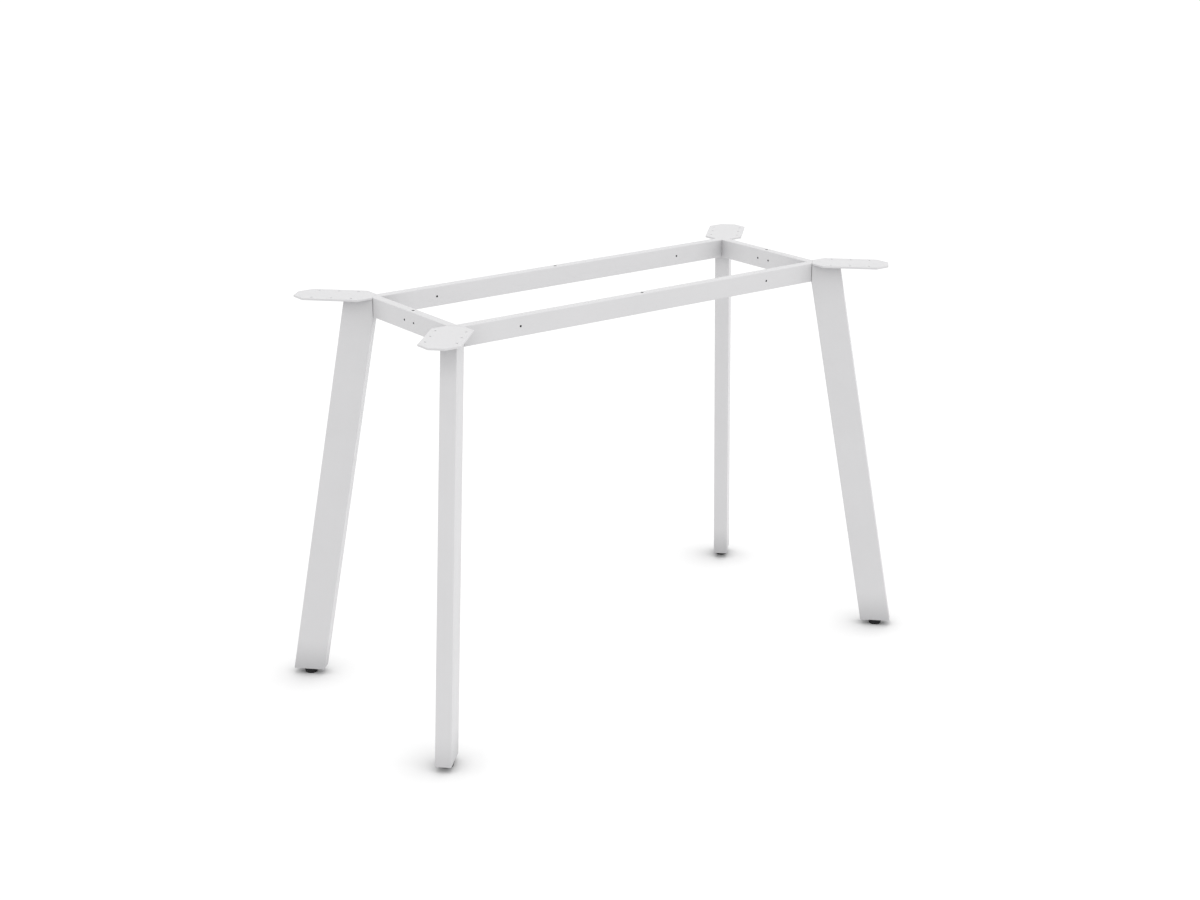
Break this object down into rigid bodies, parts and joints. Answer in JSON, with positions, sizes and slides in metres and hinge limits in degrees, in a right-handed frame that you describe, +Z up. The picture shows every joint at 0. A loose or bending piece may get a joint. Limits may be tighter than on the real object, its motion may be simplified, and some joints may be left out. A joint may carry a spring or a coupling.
{
  "type": "bar table frame",
  "caption": "White steel frame for a bar table: a level ring of rectangular tube on wide legs that lean outwards at the corners, with screw plates for the top and levelling feet.",
  "frame": {"origin": "on the floor under the middle of the ring", "axes": "+X along the long rails, to the right of the front; +Y from front to back; +Z up"},
  "size_m": [1.5018, 0.7468, 1.025],
  "materials": {
    "white_powder_coat": "white powder coat, satin, with a very fine texture",
    "black_plastic": "moulded black plastic, matt",
    "zinc_plated_steel": "bright zinc plate"
  },
  "bodies": {
    "frame": {"long_rail_front": "white_powder_coat", "long_rail_back": "white_powder_coat", "short_rail_left": "white_powder_coat", "short_rail_right": "white_powder_coat", "leg_front_left": "white_powder_coat", "leg_front_right": "white_powder_coat", "leg_back_left": "white_powder_coat", "leg_back_right": "white_powder_coat", "mounting_plate_front_left": "white_powder_coat", "mounting_plate_front_right": "white_powder_coat", "mounting_plate_back_left": "white_powder_coat", "mounting_plate_back_right": "white_powder_coat", "foot_plate_front_left": "white_powder_coat", "foot_plate_front_right": "white_powder_coat", "foot_plate_back_left": "white_powder_coat", "foot_plate_back_right": "white_powder_coat", "weld_nut_front_left": "zinc_plated_steel", "weld_nut_front_right": "zinc_plated_steel", "weld_nut_back_left": "zinc_plated_steel", "weld_nut_back_right": "zinc_plated_steel"},
    "levelling_foot_front_left": {"foot_front_left": "black_plastic", "foot_stud_front_left": "zinc_plated_steel"},
    "levelling_foot_front_right": {"foot_front_right": "black_plastic", "foot_stud_front_right": "zinc_plated_steel"},
    "levelling_foot_back_left": {"foot_back_left": "black_plastic", "foot_stud_back_left": "zinc_plated_steel"},
    "levelling_foot_back_right": {"foot_back_right": "black_plastic", "foot_stud_back_right": "zinc_plated_steel"}
  },
  "joints": [
    {"name": "level_front_left", "type": "slide", "parent": "frame", "child": "levelling_foot_front_left", "axis": [0, 0, -1], "range_m": [0, 0.01]},
    {"name": "level_front_right", "type": "slide", "parent": "frame", "child": "levelling_foot_front_right", "axis": [0, 0, -1], "range_m": [0, 0.01]},
    {"name": "level_back_left", "type": "slide", "parent": "frame", "child": "levelling_foot_back_left", "axis": [0, 0, -1], "range_m": [0, 0.01]},
    {"name": "level_back_right", "type": "slide", "parent": "frame", "child": "levelling_foot_back_right", "axis": [0, 0, -1], "range_m": [0, 0.01]}
  ]
}
